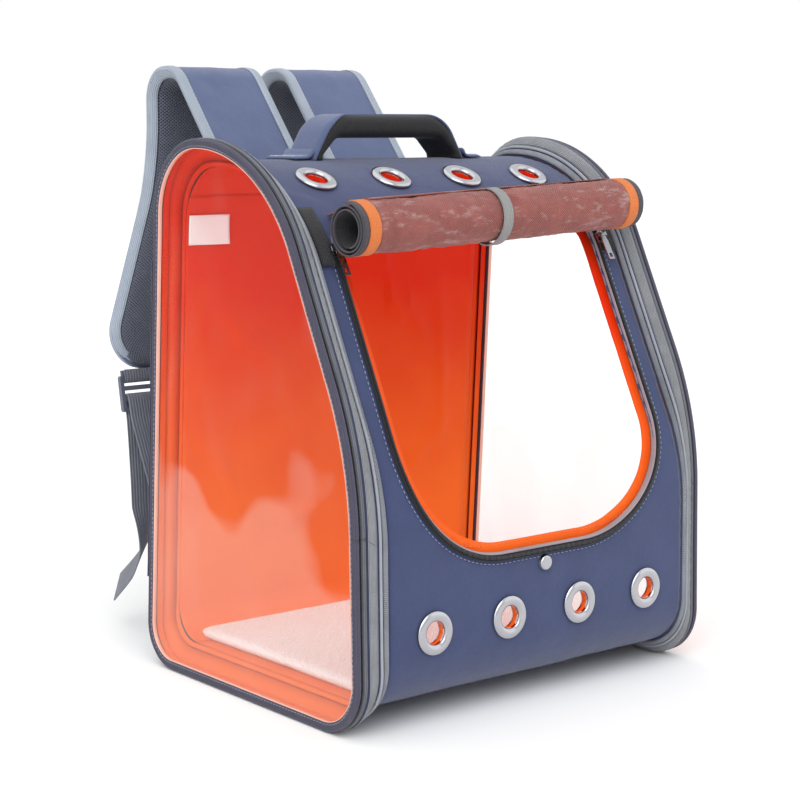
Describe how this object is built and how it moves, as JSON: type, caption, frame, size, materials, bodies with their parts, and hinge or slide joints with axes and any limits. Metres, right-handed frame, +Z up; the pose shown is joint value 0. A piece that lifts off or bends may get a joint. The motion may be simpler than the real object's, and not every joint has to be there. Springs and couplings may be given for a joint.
{
  "type": "bird travel carrier",
  "caption": "Soft-sided backpack carrier for a pet bird: arched sides with clear zipped doors, rolled-up front curtain, padded mat, grab handle and shoulder straps.",
  "frame": {"origin": "centre of the bounding box's bottom face, on the ground that the side hoops stand on", "axes": "+X to the right as seen from the front, +Y from the window towards the wearer's back, +Z up"},
  "size_m": [0.2912, 0.3396, 0.4007],
  "materials": {
    "navy_canvas": "woven",
    "strap_cloth": "woven",
    "pale_binding": "woven",
    "grey_mesh": "air mesh",
    "orange_lining": "smooth woven",
    "grey_braid": "braided",
    "olive_grey_tape": "ribbed tape",
    "dark_binding": "grosgrain",
    "black_zip": "moulded teeth",
    "black_tape": "woven tape",
    "clear_pvc": "clear film",
    "tan_binding": "grosgrain",
    "red_brown_mesh": "open mesh",
    "orange_binding": "grosgrain",
    "grey_tape": "woven tape",
    "chrome": "polished",
    "satin_metal": "satin",
    "spring_steel": "plain",
    "black_foam": "closed-cell foam",
    "grey_webbing": "flat webbing",
    "grey_plastic": "moulded",
    "white_board": "sheet",
    "pale_mat": "padded cloth",
    "white_label": "satin"
  },
  "bodies": {
    "carrier": {"front_top_panel": "navy_canvas", "front_top_lining": "orange_lining", "back_panel": "navy_canvas", "back_lining": "orange_lining", "base_panel": "navy_canvas", "base_board": "white_board", "base_lining": "orange_lining", "care_label": "white_label", "back_pad": "grey_mesh", "lower_eyelets": "chrome", "upper_eyelets": "chrome", "eyelet_washers": "chrome", "snap_stud": "satin_metal", "handle_grip": "black_foam", "handle_cover": "strap_cloth", "left_gusset": "olive_grey_tape", "right_gusset": "olive_grey_tape", "gusset_linings": "orange_lining", "edge_braids": "grey_braid", "edge_pipings": "grey_tape", "gusset_tapes": "olive_grey_tape", "left_hoop_rim": "dark_binding", "right_hoop_rim": "dark_binding", "hoop_strips": "spring_steel", "side_zip_teeth": "black_zip", "left_hinge_tape": "dark_binding", "right_hinge_tape": "dark_binding", "side_sliders": "satin_metal", "window_zip_tape": "black_tape", "window_zip_teeth": "black_zip", "window_edge": "tan_binding", "zip_garages": "black_tape", "window_sliders": "satin_metal", "curtain_mesh": "red_brown_mesh", "curtain_bindings": "orange_binding", "curtain_zip_tapes": "grey_tape", "curtain_hem": "red_brown_mesh", "curtain_tie": "grey_tape", "left_strap_pad": "strap_cloth", "right_strap_pad": "strap_cloth", "strap_meshes": "grey_mesh", "strap_trims": "pale_binding", "strap_patches": "strap_cloth", "lock_loops": "grey_webbing", "ladder_locks": "grey_plastic", "left_webbing": "grey_webbing", "right_webbing": "grey_webbing", "anchor_patches": "strap_cloth"},
    "left_door": {"left_door_sheet": "clear_pvc", "left_door_binding": "dark_binding", "left_door_teeth": "black_zip"},
    "right_door": {"right_door_sheet": "clear_pvc", "right_door_binding": "dark_binding", "right_door_teeth": "black_zip"},
    "left_side_pull": {"left_side_pull": "satin_metal"},
    "right_side_pull": {"right_side_pull": "satin_metal"},
    "left_window_pull": {"left_window_pull": "satin_metal"},
    "right_window_pull": {"right_window_pull": "satin_metal"},
    "floor_mat": {"floor_mat": "pale_mat"}
  },
  "joints": [
    {"name": "left_door_hinge", "type": "hinge", "parent": "carrier", "child": "left_door", "pos_m": [-0.1417, 0.05833, 0.174], "axis": [0, 0.0597, -0.9982], "range_deg": [0, 100]},
    {"name": "right_door_hinge", "type": "hinge", "parent": "carrier", "child": "right_door", "pos_m": [0.1417, 0.05833, 0.174], "axis": [0, -0.0597, 0.9982], "range_deg": [0, 100]},
    {"name": "left_side_pull_pin", "type": "hinge", "parent": "carrier", "child": "left_side_pull", "pos_m": [-0.1373, 0.05633, 0.28119], "axis": [1, 0, 0], "range_deg": [0, 120]},
    {"name": "right_side_pull_pin", "type": "hinge", "parent": "carrier", "child": "right_side_pull", "pos_m": [0.1373, 0.05633, 0.28119], "axis": [1, 0, 0], "range_deg": [0, 120]},
    {"name": "left_window_pull_pin", "type": "hinge", "parent": "carrier", "child": "left_window_pull", "pos_m": [-0.1117, -0.10211, 0.2865], "axis": [-1, 0, 0], "range_deg": [0, 30]},
    {"name": "right_window_pull_pin", "type": "hinge", "parent": "carrier", "child": "right_window_pull", "pos_m": [0.1117, -0.10211, 0.2865], "axis": [-1, 0, 0], "range_deg": [0, 30]},
    {"name": "floor_mat_lift", "type": "slide", "parent": "carrier", "child": "floor_mat", "axis": [0, 0, 1], "range_m": [0, 0.04]}
  ]
}
